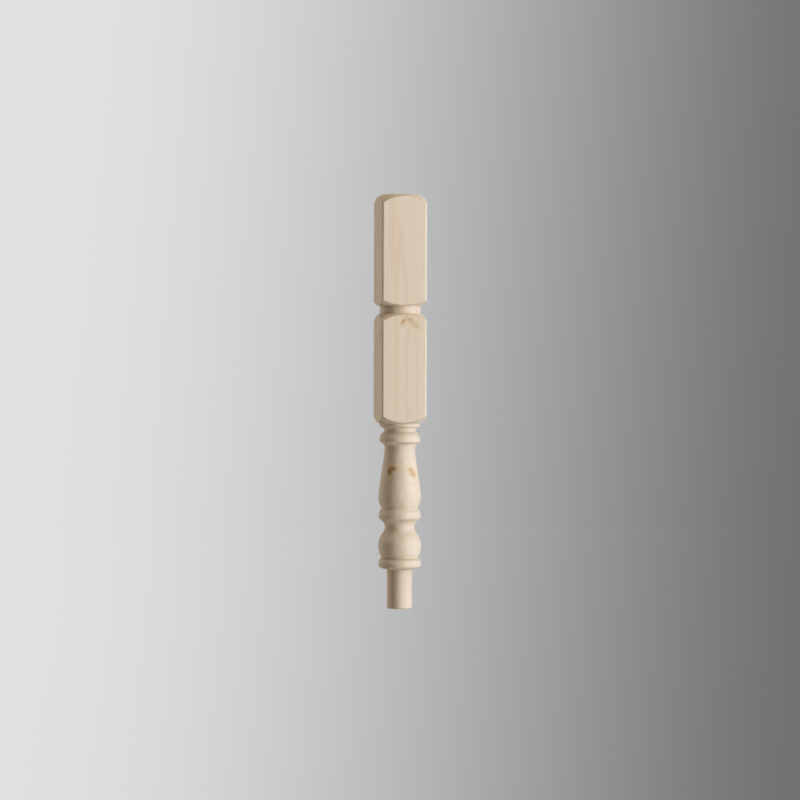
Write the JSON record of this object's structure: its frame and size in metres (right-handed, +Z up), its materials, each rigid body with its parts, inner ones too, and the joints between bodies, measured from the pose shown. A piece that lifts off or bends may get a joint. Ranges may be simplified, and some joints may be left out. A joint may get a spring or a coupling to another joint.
{
  "type": "newel post",
  "caption": "Turned timber stair newel with two square blocks, a vase and ball foot below them, and a round spigot that glues into the base of the stair.",
  "frame": {"origin": "centre of the flat end of the spigot, the lowest point of the post", "axes": "+Z up along the turning axis, from the spigot to the top; the flat faces of the blocks look along -Y (front), +Y (back), -X (left) and +X (right)"},
  "size_m": [0.09, 0.09, 0.82],
  "materials": {
    "pine": "raw softwood, planed on the flat faces and turned smooth, unfinished"
  },
  "bodies": {
    "root": {"newel_post": "pine"}
  },
  "joints": []
}
